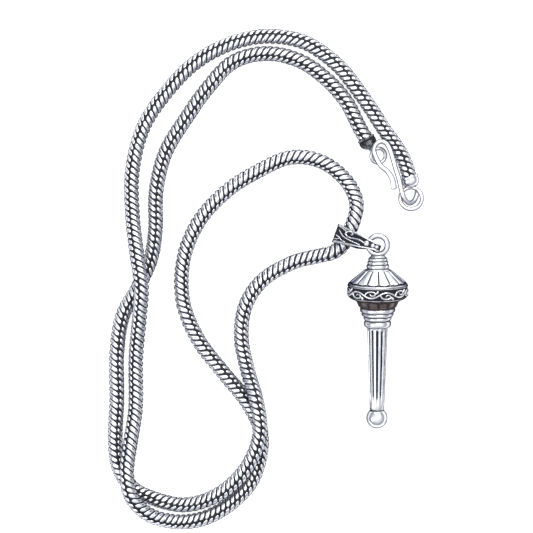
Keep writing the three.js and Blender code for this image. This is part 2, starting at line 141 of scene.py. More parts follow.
# The two leaves of the strap's middle line, as (along, height): out on top to the tip, back underneath.
BAIL_LEAVES = [
    (-0.00095, 0.0059), (0.0009, 0.0077), (0.0032, 0.00945), (0.0056, 0.01045), (0.0075, 0.0106),
    (0.00835, 0.0102), (BAIL_TIP_REACH, 0.0094), (0.0079, 0.00855),
    (0.0062, 0.0078), (0.0047, 0.0065), (0.0035, 0.0045), (0.0025, 0.0020),
]
BAIL_REAR_SHIFT = -0.0004  # how far the rear leaf stands to one side
RIM_WIRE = 0.0002

# ---- Mace ---------------------------------------------------------------------------------------------
# Heights along the mace are from MACE_AT, positive toward its ring.
MACE_AT = Vector((0.0, -0.0017, 0.00753))
MACE_TILT = math.radians(8.9)
RING_HEIGHT = 0.01184
RING_RADIUS = 0.00231
RING_WIRE = 0.00069
NECK_FOOT = 0.0061
BAND_TOP = 0.00203
BAND_MIDDLE = 0.0004
GADROONS = 14
GADROON_FOOT = 0.00280
GADROON_TOP = 0.0056
PANELS = 12
PANEL_FOOT = -0.00338
PANEL_TOP = -0.00205
# The collars under the head and the knop under them: radius, foot, top.
COLLARS = [
    ("upper", 0.0044, -0.00490, -0.00373),
    ("middle", 0.0040, -0.00590, -0.00493),
    ("lower", 0.0035, -0.00689, -0.00593),
]
KNOP = (0.0034, -0.00868, -0.00692)
FLUTES = 12
FLUTE_TURN = math.radians(18)  # so that one groove lies close to the top
FLUTE_FOOT = -0.0292
FLUTE_TOP = -0.0090
BALL_HEIGHT = -0.03165
BALL_RADIUS = 0.00263

# ---- Camera and light ---------------------------------------------------------------------------------
VIEW_MIDDLE = Vector((-0.0275, 0.0047, 0.0)) - BOX_MIDDLE
VIEW_WIDTH = 0.13325  # of the floor across the picture
CAMERA_HEIGHT = 0.7
SENSOR = 36.0  # millimetres
FLOOR_HALF = 0.6

# Name, place, size, watts and colour of each lamp.
LIGHTS = [
    ("key", (0.15, 0.25, 0.6), 0.5, 2.2, (1.0, 1.0, 1.0)),
    ("fill", (-0.45, -0.2, 0.4), 0.4, 0.9, (0.9, 0.93, 1.0)),
    ("back", (0.0, 0.6, 0.2), 0.7, 1.8, (1.0, 1.0, 1.0)),
]

SMALLEST = 0.00001  # a radius that still keeps the faces at a pole from falling together

random.seed(7)


def make_camera():
    """A camera straight above the middle of the layout."""
    data = bpy.data.cameras.new("camera")
    data.sensor_width = SENSOR
    data.lens = SENSOR * CAMERA_HEIGHT / VIEW_WIDTH
    data.clip_start = 0.01
    camera = bpy.data.objects.new("camera", data)
    camera.location = VIEW_MIDDLE + Vector((0, 0, CAMERA_HEIGHT))
    bpy.context.collection.objects.link(camera)
    bpy.context.scene.camera = camera


make_camera()


# ---- Mesh helpers -------------------------------------------------------------------------------------
def mesh_object(name, vertices, faces, relief=None):
    """A smooth mesh with two attributes. relief is 1 on a vertex that wear keeps bright and 0 in a dark
    recess. facing is 1 on a vertex that faces the top or the underside at rest and 0 on one that faces
    sideways."""
    data = bpy.data.meshes.new(name)
    data.from_pydata([tuple(v) for v in vertices], [], faces)
    data.shade_smooth()
    layer = data.attributes.new("relief", "FLOAT", "POINT")
    values = np.ones(len(vertices)) if relief is None else np.asarray(relief, float)
    layer.data.foreach_set("value", values)
    # facing carries the painted side shade: the materials paint shade on vertices where it is low.
    normals = np.zeros(3 * len(vertices), np.float32)
    data.vertex_normals.foreach_get("vector", normals)
    data.attributes.new("facing", "FLOAT", "POINT").data.foreach_set("value", np.abs(normals[2::3]))
    made = bpy.data.objects.new(name, data)
    bpy.context.collection.objects.link(made)
    return made


def grid_faces(rows, columns, close_rows, close_columns):
    """The faces of a grid of vertices, closed into a ring either way or both."""
    faces = []
    for i in range(rows if close_rows else rows - 1):
        for j in range(columns if close_columns else columns - 1):
            a = i * columns + j
            b = i * columns + (j + 1) % columns
            c = (i + 1) % rows * columns + (j + 1) % columns
            d = (i + 1) % rows * columns + j
            faces.append((a, b, c, d))
    return faces


def catmull(points, per, closed=False):
    """A centripetal Catmull-Rom curve through the points, per steps between each two of them."""
    points = np.array(points, float)
    count = len(points)
    pieces = []
    for i in range(count if closed else count - 1):
        p1, p2 = points[i], points[(i + 1) % count]
        p0 = points[i - 1] if i > 0 or closed else 2 * points[0] - points[1]
        p3 = points[(i + 2) % count] if i + 2 < count or closed else 2 * points[-1] - points[-2]
        gaps = [max(np.sum((b - a) ** 2) ** 0.25, 1e-6) for a, b in ((p0, p1), (p1, p2), (p2, p3))]
        t1 = ((p1 - p0) / gaps[0] - (p2 - p0) / (gaps[0] + gaps[1])) * gaps[1] + p2 - p1
        t2 = ((p3 - p2) / gaps[2] - (p3 - p1) / (gaps[1] + gaps[2])) * gaps[1] + p2 - p1
        t = (np.arange(per) / per)[:, None]
        bend = -3 * p1 + 3 * p2 - 2 * t1 - t2
        twist = 2 * p1 - 2 * p2 + t1 + t2
        pieces.append(p1 + t1 * t + bend * t**2 + twist * t**3)
    if not closed:
        pieces.append(points[-1:])
    return np.concatenate(pieces)


def unit(v):
    """The vectors at length 1."""
    return v / np.linalg.norm(v, axis=-1, keepdims=True)


def carried_frames(line):
    """Directions along, across and up at each point of a line, carried along it without twist."""
    along = unit(np.gradient(line, axis=0))
    across = np.zeros_like(line)
    side = np.cross((0, 0, 1), along[0])
    for i, t in enumerate(along):
        side = side - t * side.dot(t)
        side = side / np.linalg.norm(side)
        across[i] = side
    return along, across, np.cross(along, across)


def place(vertices, origin=None):
    """Moves points from the laid-out frame, or from a piece's own frame, into the CAD frame."""
    matrix = Matrix.Translation(-BOX_MIDDLE) @ (origin or Matrix.Identity(4))
    m = np.array(matrix)
    return np.asarray(vertices) @ m[:3, :3].T + m[:3, 3]


def sweep(name, line, radii, sides=20, flat=1.0, origin=None):
    """A round bar along a line, with a rounded end at each end. flat squashes it in its up direction."""
    line = np.asarray(line, float)
    radii = np.broadcast_to(radii, len(line))
    flat = np.broadcast_to(flat, len(line))
    along, across, up = carried_frames(line)
    angles = np.arange(sides) * 2 * math.pi / sides
    end_shares = (0.35, 0.72, 0.93)
    rings = []
    for share in end_shares:
        back = radii[0] * math.sqrt(1 - share**2) * 0.5
        rings.append((line[0] - along[0] * back, across[0], up[0], radii[0] * share, flat[0]))
    rings += list(zip(line, across, up, radii, flat))
    for share in reversed(end_shares):
        ahead = radii[-1] * math.sqrt(1 - share**2) * 0.5
        rings.append((line[-1] + along[-1] * ahead, across[-1], up[-1], radii[-1] * share, flat[-1]))
    vertices = [
        at + r * (math.cos(a) * side + f * math.sin(a) * lift)
        for at, side, lift, r, f in rings
        for a in angles
    ]
    faces = grid_faces(len(rings), sides, False, True)
    faces.append(tuple(reversed(range(sides))))
    last = (len(rings) - 1) * sides
    faces.append(tuple(range(last, last + sides)))
    return mesh_object(name, place(vertices, origin), faces)


def torus(name, radius, wire, origin, around=96, sides=24):
    """A ring whose axis is Z in its own frame."""
    vertices = []
    for i in range(around):
        a = 2 * math.pi * i / around
        for j in range(sides):
            b = 2 * math.pi * j / sides
            r = radius + wire * math.cos(b)
            vertices.append((r * math.cos(a), r * math.sin(a), wire * math.sin(b)))
    faces = [tuple(reversed(f)) for f in grid_faces(around, sides, True, True)]
    return mesh_object(name, place(vertices, origin), faces)


def turned(name, outline, segments, origin, shape=None):
    """A turned piece about Y from (radius, height, relief) triples. shape(angle, height) gives a change
    of radius and a factor on the relief."""
    if outline[0][1] > outline[-1][1]:
        outline = outline[::-1]
    vertices = []
    relief = []
    for r, y, bright in outline:
        for j in range(segments):
            a = 2 * math.pi * j / segments
            change, kept = shape(a, y) if shape else (0.0, 1.0)
            radius = max(r + change, SMALLEST)
            vertices.append((radius * math.sin(a), y, radius * math.cos(a)))
            relief.append(bright * kept)
    faces = grid_faces(len(outline), segments, False, True)
    faces.append(tuple(reversed(range(segments))))
    last = (len(outline) - 1) * segments
    faces.append(tuple(range(last, last + segments)))
    return mesh_object(name, place(vertices, origin), faces, relief)


def join(name, parts):
    """One object from several that share a material."""
    bpy.ops.object.select_all(action="DESELECT")
    for part in parts:
        part.select_set(True)
    bpy.context.view_layer.objects.active = parts[0]
    bpy.ops.object.join()
    parts[0].name = name
    parts[0].data.name = name
    return parts[0]


# ---- Materials ----------------------------------------------------------------------------------------
BRIGHT = (0.93, 0.94, 0.96, 1.0)
GREY = (0.80, 0.81, 0.84, 1.0)
MAUVE = (0.24, 0.20, 0.21, 1.0)
BLACK = (0.012, 0.012, 0.018, 1.0)
BROWN = (0.035, 0.022, 0.016, 1.0)
# Painted shade: surfaces that face sideways are painted a dark blue grey, darkest where they face fully
# sideways.
PAINTED_SIDE_SHADE = (0.085, 0.095, 0.15, 1.0)
PAINTED_EDGE_SHADE = (0.014, 0.014, 0.020, 1.0)
WHITE = (1.0, 1.0, 1.0, 1.0)
CLOUD_SCALE = 420.0
SPECK_SCALE = 3600.0


class Nodes:
    """Short ways to add and link shader nodes."""

    def __init__(self, name):
        self.material = bpy.data.materials.new(name)
        self.material.use_nodes = True
        self.tree = self.material.node_tree
        self.shader = self.tree.nodes["Principled BSDF"]

    def add(self, kind, **settings):
        node = self.tree.nodes.new(kind)
        for key, value in settings.items():
            setattr(node, key, value)
        return node

    def link(self, out, into):
        self.tree.links.new(out, into)

    def feed(self, socket, value):
        if isinstance(value, bpy.types.NodeSocket):
            self.link(value, socket)
        else:
            socket.default_value = value

    def math(self, operation, a, b, clamp=False):
        node = self.add("ShaderNodeMath", operation=operation, use_clamp=clamp)
        self.feed(node.inputs[0], a)
        self.feed(node.inputs[1], b)
        return node.outputs[0]

    def noise(self, scale, detail=4.0, rough=0.6):
        where = self.add("ShaderNodeTexCoord")
        node = self.add("ShaderNodeTexNoise")
        self.link(where.outputs["Object"], node.inputs["Vector"])
        node.inputs["Scale"].default_value = scale
        node.inputs["Detail"].default_value = detail
        node.inputs["Roughness"].default_value = rough
        return node.outputs["Fac"]

    def spread(self, value, low, high, start=0.0, end=1.0):
        node = self.add("ShaderNodeMapRange", interpolation_type="SMOOTHSTEP")
        self.feed(node.inputs["Value"], value)
        node.inputs["From Min"].default_value = low
        node.inputs["From Max"].default_value = high
        node.inputs["To Min"].default_value = start
        node.inputs["To Max"].default_value = end
        return node.outputs["Result"]

    def blend(self, share, a, b):
        node = self.add("ShaderNodeMix", data_type="RGBA")
        self.feed(node.inputs["Factor"], share)
        self.feed(node.inputs["A"], a)
        self.feed(node.inputs["B"], b)
        return node.outputs["Result"]


def silver(name, metal, oxide, tarnish, roughness, grain, stain, shade_reach):
    """Silver that is bright where it is raised and worn by rubbing, and oxidised in its recesses. tarnish
    is how far the oxide reaches up, grain is the bump's height, stain how strong the clouds on the metal
    are, and shade_reach how far a surface must face the top or the underside to be free of the painted
    shade on its sides."""
    n = Nodes(name)
    raised = n.add("ShaderNodeAttribute", attribute_name="relief").outputs["Fac"]
    clouds = n.noise(CLOUD_SCALE, 5.0, 0.62)
    specks = n.noise(SPECK_SCALE, 3.0, 0.7)
    shaken = n.math("ADD", raised, n.spread(clouds, 0.25, 0.75, -0.16, 0.16))
    shaken = n.math("ADD", shaken, n.spread(specks, 0.3, 0.7, -0.08, 0.08))
    worn = n.spread(shaken, tarnish - 0.16, tarnish + 0.2)
    stained = [channel * (1 - stain) for channel in metal[:3]] + [1.0]
    metal_colour = n.blend(n.spread(clouds, 0.42, 0.7), metal, stained)
    # Painted shade: where a surface faces sideways at rest, its colour is blended toward a dark blue grey
    # and its metallic and specular fall away, in place of the shade and dark reflections at the pieces'
    # edges.
    facing = n.add("ShaderNodeAttribute", attribute_name="facing").outputs["Fac"]
    facing = n.math("ADD", facing, n.spread(clouds, 0.3, 0.7, -0.08, 0.08))
    shade_colour = n.blend(n.spread(facing, 0.0, 0.4), PAINTED_EDGE_SHADE, PAINTED_SIDE_SHADE)
    unshaded = n.spread(facing, shade_reach - 0.4, shade_reach)
    metal_colour = n.blend(unshaded, shade_colour, metal_colour)
    n.link(n.blend(worn, oxide, metal_colour), n.shader.inputs["Base Color"])
    metallic = n.math("MULTIPLY", n.spread(worn, 0.0, 1.0, 0.35, 1.0), unshaded)
    n.link(metallic, n.shader.inputs["Metallic"])
    n.link(n.math("MULTIPLY", unshaded, 0.5), n.shader.inputs["Specular IOR Level"])
    smooth = n.spread(specks, 0.3, 0.7, roughness * 0.75, roughness * 1.35)
    dull = n.math("SUBTRACT", 1.0, worn)
    n.link(n.math("ADD", smooth, n.math("MULTIPLY", dull, 0.35), True), n.shader.inputs["Roughness"])
    bump = n.add("ShaderNodeBump")
    bump.inputs["Strength"].default_value = 0.6
    bump.inputs["Distance"].default_value = grain
    n.link(n.math("ADD", specks, n.math("MULTIPLY", clouds, 1.5)), bump.inputs["Height"])
    n.link(bump.outputs["Normal"], n.shader.inputs["Normal"])
    return n.material


chain_silver = silver("chain_silver", BRIGHT, BLACK, 0.42, 0.26, 0.000010, 0.18, 0.74)
polished_silver = silver("polished_silver", BRIGHT, BLACK, 0.20, 0.16, 0.000006, 0.12, 0.64)
wire_silver = silver("wire_silver", BRIGHT, BLACK, 0.20, 0.20, 0.000008, 0.16, 0.92)
carved_silver = silver("carved_silver", BRIGHT, BLACK, 0.42, 0.24, 0.000012, 0.20, 0.74)
dark_silver = silver("dark_silver", MAUVE, BROWN, 0.90, 0.34, 0.000016, 0.45, 0.62)
leaf_ground = silver("leaf_ground", GREY, BLACK, 0.85, 0.40, 0.000014, 0.40, 0.62)


def finish_piece(piece, material, body, slot, *nodes):
    """Gives a piece its material and its CAD body and hides the CAD nodes it stands for; slot is not used.
    """
    piece.data.materials.clear()
    piece.data.materials.append(material)
    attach(piece, body)
    if nodes:
        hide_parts(*nodes)
    return piece


# ---- Chain --------------------------------------------------------------------------------------------
def resample(line, step):
    """The line with points an even step apart, and its length."""
    gaps = np.linalg.norm(np.diff(line, axis=0), axis=1)
    at = np.concatenate([[0], np.cumsum(gaps)])
    even = np.linspace(0, at[-1], int(round(at[-1] / step)) + 1)
    return np.stack([np.interp(even, at, line[:, k]) for k in range(3)], 1), at[-1]


class ChainSurface:
    """The round surface that the chain's links lie on."""

    def __init__(self, route):
        self.line, self.length = resample(route, CHAIN_PITCH / 8)
        _, self.across, self.up = carried_frames(self.line)
        self.step = self.length / (len(self.line) - 1)

    def point(self, run, angle, radius):
        """A point: run along the chain, angle round it from the top, radius from its middle."""
        at = min(max(run / self.step, 0.0), len(self.line) - 1.001)
        i = int(at)
        f = at - i
        middle = self.line[i] * (1 - f) + self.line[i + 1] * f
        side = self.across[i] * (1 - f) + self.across[i + 1] * f
        lift = self.up[i] * (1 - f) + self.up[i + 1] * f
        return middle + radius * (math.sin(angle) * side + math.cos(angle) * lift)


def rounded_corner(angle, along_power, across_power):
    """A point of a rounded rectangle's outline, within 1 each way."""
    u = math.copysign(abs(math.cos(angle)) ** along_power, math.cos(angle))
    v = math.copysign(abs(math.sin(angle)) ** across_power, math.sin(angle))
    return u, v


def link_vertices(surface, middle_run, middle_angle):
    """One domed, slanted link, a little different from its neighbours, as points and their relief."""
    slant = CHAIN_SLANT * (1 + random.uniform(-0.08, 0.08))
    size = 1 + random.uniform(-0.04, 0.04)
    top = CHAIN_RADIUS * (1 + random.uniform(-0.012, 0.012))
    vertices, relief = [], []
    for share, height, bright in LINK_RINGS:
        radius = CHAIN_CORE + (top - CHAIN_CORE) * height
        for k in range(LINK_POINTS if share else 1):
            u, v = rounded_corner(2 * math.pi * k / LINK_POINTS, 0.7, 0.6)
            u *= share * size
            v *= (1 - 0.42 * (1 - share)) * size if share > 0.5 else share * size
            turn = v * LINK_HALF_ANGLE
            run = middle_run + u * LINK_HALF_WIDTH + slant * CHAIN_RADIUS * turn
            vertices.append(surface.point(run, middle_angle + turn, radius))
            relief.append(bright)
    return vertices, relief


def link_faces(base):
    """The faces of a link whose middle vertex is base."""
    faces = []
    for k in range(LINK_POINTS):
        faces.append((base, base + 1 + k, base + 1 + (k + 1) % LINK_POINTS))
    for r in range(len(LINK_RINGS) - 2):
        first = base + 1 + r * LINK_POINTS
        second = first + LINK_POINTS
        for k in range(LINK_POINTS):
            n = (k + 1) % LINK_POINTS
            faces.append((first + k, second + k, second + n, first + n))
    return faces


def make_chain():
    """The chain's links on their dark core, and the path down its middle."""
    route = catmull(CHAIN_ROUTE, CURVE_STEPS)
    surface = ChainSurface(route)
    core_steps = range(0, len(surface.line), 6)
    vertices = [
        surface.point(i * surface.step, 2 * math.pi * j / CHAIN_SIDES, CHAIN_CORE)
        for i in core_steps
        for j in range(CHAIN_SIDES)
    ]
    relief = [0.0] * len(vertices)
    faces = [tuple(reversed(f)) for f in grid_faces(len(core_steps), CHAIN_SIDES, False, True)]

    runs = np.concatenate([[0], np.cumsum(np.linalg.norm(np.diff(route, axis=0), axis=1))])
    twist_runs = [runs[CURVE_STEPS * point] for point, _ in CHAIN_TWIST]
    twist = [degrees for _, degrees in CHAIN_TWIST]
    for row in range(int(surface.length / CHAIN_PITCH)):
        for column in range(CHAIN_COLUMNS):
            run = (row + 0.5 + 0.5 * (column % 2)) * CHAIN_PITCH
            if run > surface.length:
                continue
            border = math.radians(np.interp(run, twist_runs, twist))
            angle = 2 * math.pi * (column + 0.5) / CHAIN_COLUMNS + border
            faces += link_faces(len(vertices))
            points, heights = link_vertices(surface, run, angle)
            vertices += points
            relief += heights
    chain = mesh_object("snake_chain_links", place(vertices), faces, relief)
    path, _ = resample(surface.line, PATH_STEP)
    return chain, place(path)


# ---- Caps and clasp -----------------------------------------------------------------------------------
def end_frame(end, heading):
    """A cap's frame: its Y runs out of the chain's end."""
    return Matrix.Translation(Vector(end)) @ Matrix.Rotation(heading - math.pi / 2, 4, "Z")


def cap_outline(bright):
    """A cap's outline: a sleeve with a groove round it, then a dome. bright is the relief of both."""
    edge = CAP_RADIUS - 0.0001
    inner = edge - 0.0001
    mouth = -CAP_SLEEVE
    groove_foot, groove_top = -0.0005, -0.0004
    outline = [(inner, 0.0, 0.1), (inner, mouth + 0.00005, 0.3)]
    outline += [(edge, mouth, bright), (CAP_RADIUS, mouth + 0.0001, bright)]
    outline += [(CAP_RADIUS, groove_foot - 0.0001, bright)]
    outline += [(edge, groove_foot, 0.3), (edge, groove_top, 0.3)]
    steps = 12
    for i in range(steps + 1):
        a = math.pi / 2 * i / steps
        radius = max(CAP_RADIUS * math.cos(a), 2 * SMALLEST)
        outline.append((radius, CAP_DOME * math.sin(a), bright))
    return outline


def make_caps():
    """The two caps, the left one's eye and the ring on the right one."""
    left_at = end_frame(CHAIN_ROUTE[0], LEFT_HEADING)
    cap = turned("cap", cap_outline(0.8), 48, left_at)
    eye_at = left_at @ Matrix.Translation((0, EYE_REACH, EYE_HEIGHT - CHAIN_ROUTE[0][2]))
    eye_at = eye_at @ Matrix.Rotation(JUMP_RING_HEADING - LEFT_HEADING + math.pi / 2, 4, "Z")
    eye = torus("eye", EYE_RADIUS, EYE_WIRE, eye_at @ Matrix.Rotation(math.pi / 2, 4, "X"), 48, 16)
    left = join("left_cup", [cap, eye])
    finish_piece(left, leaf_ground, "chain", "blackened_silver", "left_end_cap")
    right = turned("right_cup", cap_outline(1.0), 48, end_frame(CHAIN_ROUTE[-1], RIGHT_HEADING))
    finish_piece(right, polished_silver, "chain", "bright_silver", "right_end_cap")
    ring_at = Matrix.Translation(CLOSED_RING_AT)
    ring = torus("closed_link", CLOSED_RING_RADIUS, CLOSED_RING_WIRE, ring_at)
    finish_piece(ring, wire_silver, "chain", "bright_silver", "closed_ring")
    return [left, right, ring]


def make_clasp():
    """The jump ring in the left cap's eye, and the hook, which is wider and flatter at its open tip."""
    outward = Vector((math.cos(LEFT_HEADING), math.sin(LEFT_HEADING), 0))
    start = Vector(CHAIN_ROUTE[0]) + EYE_REACH * outward
    start.z = EYE_HEIGHT
    ring_at = Matrix.Translation(start) @ Matrix.Rotation(JUMP_RING_HEADING, 4, "Z")
    ring_at = ring_at @ Matrix.Rotation(JUMP_RING_DIP, 4, "Y")
    ring_at = ring_at @ Matrix.Translation((JUMP_RING_RADIUS, 0, 0))
    ring = torus("jump_link", JUMP_RING_RADIUS, JUMP_RING_WIRE, ring_at)
    finish_piece(ring, wire_silver, "jump_ring", "bright_silver", "jump_ring")
    line = catmull(HOOK_ROUTE, 8)
    share = np.linspace(0, 1, len(line))
    thick = HOOK_WIRE * (1 + 0.22 * np.clip(1 - share / HOOK_WIDE_SHARE, 0, 1))
    flat = 1 - 0.45 * np.clip(1 - share / HOOK_FLAT_SHARE, 0, 1)
    hook = sweep("hook", line, thick, 24, flat)
    finish_piece(hook, wire_silver, "clasp", "bright_silver", "s_hook")


# ---- Bail ---------------------------------------------------------------------------------------------
def bail_loop():
    """The middle line of the strap: the fold round the chain, then the two leaves."""
    points = []
    for degrees in BAIL_FOLD_ANGLES:
        a = math.radians(degrees)
        x = BAIL_FOLD_RADIUS * math.cos(a)
        points.append((x, 0, BAIL_AXIS_HEIGHT + BAIL_FOLD_RADIUS * math.sin(a)))
    points += [(x, 0, z) for x, z in BAIL_LEAVES]
    return catmull(points, 12, closed=True)


LOOP = bail_loop()
LOOP_POINTS = len(BAIL_FOLD_ANGLES) + len(BAIL_LEAVES)
# Shares of the loop at which the front leaf and the rear leaf start and the front leaf ends.
REAR_START = 14 / LOOP_POINTS
FRONT_START = 4 / LOOP_POINTS
FRONT_END = 11 / LOOP_POINTS
LOOP_ALONG = unit(np.roll(LOOP, -1, axis=0) - np.roll(LOOP, 1, axis=0))


def bail_half_width(x):
    """Half the strap's width at a distance along it: it tapers from the fold to the tip."""
    share = min(max((x + BAIL_FOLD_RADIUS) / (BAIL_TIP_REACH + BAIL_FOLD_RADIUS), 0), 1)
    return (BAIL_WIDTH + (BAIL_TIP_WIDTH - BAIL_WIDTH) * share) / 2


def bail_point(t, across, lift):
    """A point on the strap: t round the loop, across from its middle line, lift over its outer face."""
    at = (t % 1.0) * len(LOOP)
    i = int(at)
    f = at - i
    j = (i + 1) % len(LOOP)
    middle = LOOP[i] * (1 - f) + LOOP[j] * f
    along = LOOP_ALONG[i] * (1 - f) + LOOP_ALONG[j] * f
    shift = 0.0
    if t > REAR_START:
        shift = BAIL_REAR_SHIFT * math.sin(math.pi * (t - REAR_START) / (1 - REAR_START))
    out = BAIL_THICKNESS / 2 + lift
    return (middle[0] - along[2] * out, across + shift, middle[2] + along[0] * out)


def front_at(x):
    """The share of the loop at which the front leaf passes x."""
    low, high = FRONT_START, FRONT_END
    for _ in range(24):
        half = (low + high) / 2
        if LOOP[int(half * len(LOOP))][0] < x:
            low = half
        else:
            high = half
    return low


def make_strap(origin):
    """The folded strap, its edges rounded and its front face sunk between the rims."""
    # Across in half widths, lift in thicknesses, round the section from one edge over the outer face.
    section = [(1, -0.25), (0.99, -0.08), (0.93, 0.0), (0.80, 0.0), (0.70, -0.16), (0, -0.14)]
    section += [(-0.70, -0.16), (-0.80, 0.0), (-0.93, 0.0), (-0.99, -0.08), (-1, -0.25)]
    section += [(-1, -0.75), (-0.95, -1.0), (0.95, -1.0), (1, -0.75)]
    recessed = {4, 5, 6}
    outer_points = 11
    rings = 8 * LOOP_POINTS
    vertices, relief = [], []
    for i in range(rings):
        t = i / rings
        half = bail_half_width(bail_point(t, 0, 0)[0])
        front = FRONT_START - 0.05 < t < FRONT_END + 0.04
        for k, (across, lift) in enumerate(section):
            sunk = lift if front or k not in recessed else 0.0
            vertices.append(bail_point(t, across * half, sunk * BAIL_THICKNESS))
            if front and k in recessed:
                relief.append(0.05)
            else:
                relief.append(0.8 if k < outer_points else 0.3)
    faces = grid_faces(rings, len(section), True, True)
    return mesh_object("strap", place(vertices, origin), faces, relief)


def raised_line(name, pairs, radius, origin, lift=0.4, ends=0.6):
    """A raised line on the front leaf through (x, across) pairs, thinner toward its ends."""
    flat_line = catmull([(x, y, 0) for x, y in pairs], 8)
    points = [bail_point(front_at(x), y, lift * radius) for x, y, _ in flat_line]
    share = np.linspace(-1, 1, len(points))
    return sweep(name, points, radius * (1 - (1 - ends) * np.abs(share) ** 3), 12, 1.0, origin)


def rim_pairs(side):
    """The (x, across) pairs of the rim along one edge of the front leaf; side is 1 or -1."""
    start = -0.0023
    end = BAIL_TIP_REACH - 0.0007
    steps = 8
    pairs = []
    for i in range(steps + 1):
        x = start + (end - start) * i / steps
        pairs.append((x, side * (bail_half_width(x) - RIM_WIRE)))
    return pairs


def make_bead(name, x, radius, origin):
    """A slightly flattened half ball on the front leaf, sunk a little into it."""
    steps, sides = 8, 24
    flattening, sunk = 0.85, 0.00008
    t = front_at(x)
    middle = np.array(bail_point(t, 0, 0))
    out = unit(np.array(bail_point(t, 0, 0.001)) - middle)
    side = np.array((0.0, 1.0, 0.0))
    along = np.cross(side, out)
    vertices, relief = [], []
    for i in range(steps + 1):
        a = math.pi / 2 * i / steps
        r = max(radius * math.cos(a), SMALLEST)
        height = flattening * radius * math.sin(a) - sunk
        for j in range(sides):
            b = 2 * math.pi * j / sides
            vertices.append(middle + r * (math.cos(b) * along + math.sin(b) * side) + height * out)
            relief.append(1.0 if i else 0.2)
    faces = grid_faces(steps + 1, sides, False, True)
    faces.append(tuple(range(steps * sides, (steps + 1) * sides)))
    return mesh_object(name, place(vertices, origin), faces, relief)


# The raised lines of the bail's two ornaments: (x, across) pairs and the radius of the line.
SCROLL_LINES = [
    ([(0.0046, -0.0001), (0.0034, 0.0002), (0.0022, 0.0002), (0.0010, 0.0000)], 0.00018),
    ([(0.0012, 0.0), (0.0001, 0.0002), (-0.0003, 0.0008), (0.0002, 0.0014), (0.0010, 0.00145)], 0.00020),
    ([(0.0010, 0.00145), (0.0014, 0.0010), (0.0010, 0.0007)], 0.00016),
    ([(-0.0002, 0.0011), (-0.0010, 0.0015), (-0.0018, 0.0018)], 0.00016),
]
SPRIG_LINES = [
    ([(0.0036, -0.0009), (0.0026, -0.0008), (0.0014, -0.0007), (0.0004, -0.0005),
      (-0.0006, -0.0002), (-0.0014, 0.0004), (-0.0020, 0.0010)], 0.00017),
    ([(0.0002, -0.0014), (-0.0008, -0.0012), (-0.0015, -0.0007), (-0.0023, -0.0004)], 0.00017),
    ([(-0.0013, -0.0008), (-0.0019, -0.0013), (-0.0025, -0.0014)], 0.00014),
]
BEADS = [("large", 0.0051, 0.00074), ("middle", 0.00662, 0.00058), ("small", 0.00768, 0.00046)]


def make_bail():
    """The strap with its rims, its two ornaments and its three beads."""
    at = Vector(CHAIN_ROUTE[BAIL_POINT])
    origin = Matrix.Translation((at.x, at.y, 0)) @ Matrix.Rotation(BAIL_HEADING, 4, "Z")
    finish_piece(make_strap(origin), carved_silver, "bail", "worn_silver", "bail_strap")
    rims = [("upper_rim", 1, "bail_rim_upper"), ("lower_rim", -1, "bail_rim_lower")]
    for name, side, node in rims:
        rim = raised_line(name, rim_pairs(side), RIM_WIRE, origin, 0.4, 0.9)
        finish_piece(rim, polished_silver, "bail", "bright_silver", node)
    ornaments = [("scroll", SCROLL_LINES, "bail_scroll"), ("sprig", SPRIG_LINES, "bail_leaf_sprig")]
    for name, lines, node in ornaments:
        made = join(name, [raised_line("line", pairs, radius, origin) for pairs, radius in lines])
        finish_piece(made, polished_silver, "bail", "bright_silver", node)
    for name, x, radius in BEADS:
        bead = make_bead("bead_" + name, x, radius, origin)
        finish_piece(bead, polished_silver, "bail", "bright_silver", "bail_bead_" + name)


# ---- Mace ---------------------------------------------------------------------------------------------
def fine(corners, step=0.00012):
    """An outline of (radius, height, relief) corners with points added between them."""
    made = []
    for a, b in zip(corners, corners[1:]):
        a, b = np.array(a), np.array(b)
        count = max(1, int(np.linalg.norm(b[:2] - a[:2]) / step))
        made += [tuple(a + (b - a) * i / count) for i in range(count)]
    return made + [tuple(corners[-1])]


def bead_ring(radius, foot, top, depth, groove=0.15):
    """A rounded ring of an outline, with the relief groove at its two ends."""
    steps = 8
    made = []
    for i in range(steps + 1):
        a = -math.pi / 2 + math.pi * i / steps
        swell = math.cos(a)
        height = (foot + top) / 2 + (top - foot) / 2 * math.sin(a)
        made.append((radius - depth * (1 - swell), height, groove + (1 - groove) * swell**1.5))
    return made


def repeat_side(angle, repeats):
    """Where an angle lies in its share of a ring of repeats: 0 in the middle, 1 at either border."""
    share = (angle * repeats / (2 * math.pi)) % 1.0
    return abs(2 * share - 1)


def dome_shape(angle, y):
    """Rounded gadroons with narrow grooves between them, ending in round lobes above a dark step."""
    side = repeat_side(angle, GADROONS)
    roundness = math.sqrt(max(0, 1 - side**2))
    lobe_end = GADROON_FOOT + 0.0003 - 0.00045 * roundness
    if y < lobe_end or y > GADROON_TOP:
        sunk = -0.00014 if y > lobe_end - 0.0003 else 0.0
        return sunk, 0.35 if lobe_end - 0.00028 < y < lobe_end else 1.0
    groove = max(0.0, (side - 0.80) / 0.20)
    swell = 0.00022 * roundness
    return swell - 0.00030 * groove**0.8, 1.0 - 0.95 * min(1, groove * 1.5)


def bowl_shape(angle, y):
    """A row of sunk rectangular panels."""
    panel_share = 0.72
    if PANEL_FOOT < y < PANEL_TOP:
        return (-0.00024, 1.0) if repeat_side(angle, PANELS) < panel_share else (0.0, 0.5)
    return 0.0, 0.85


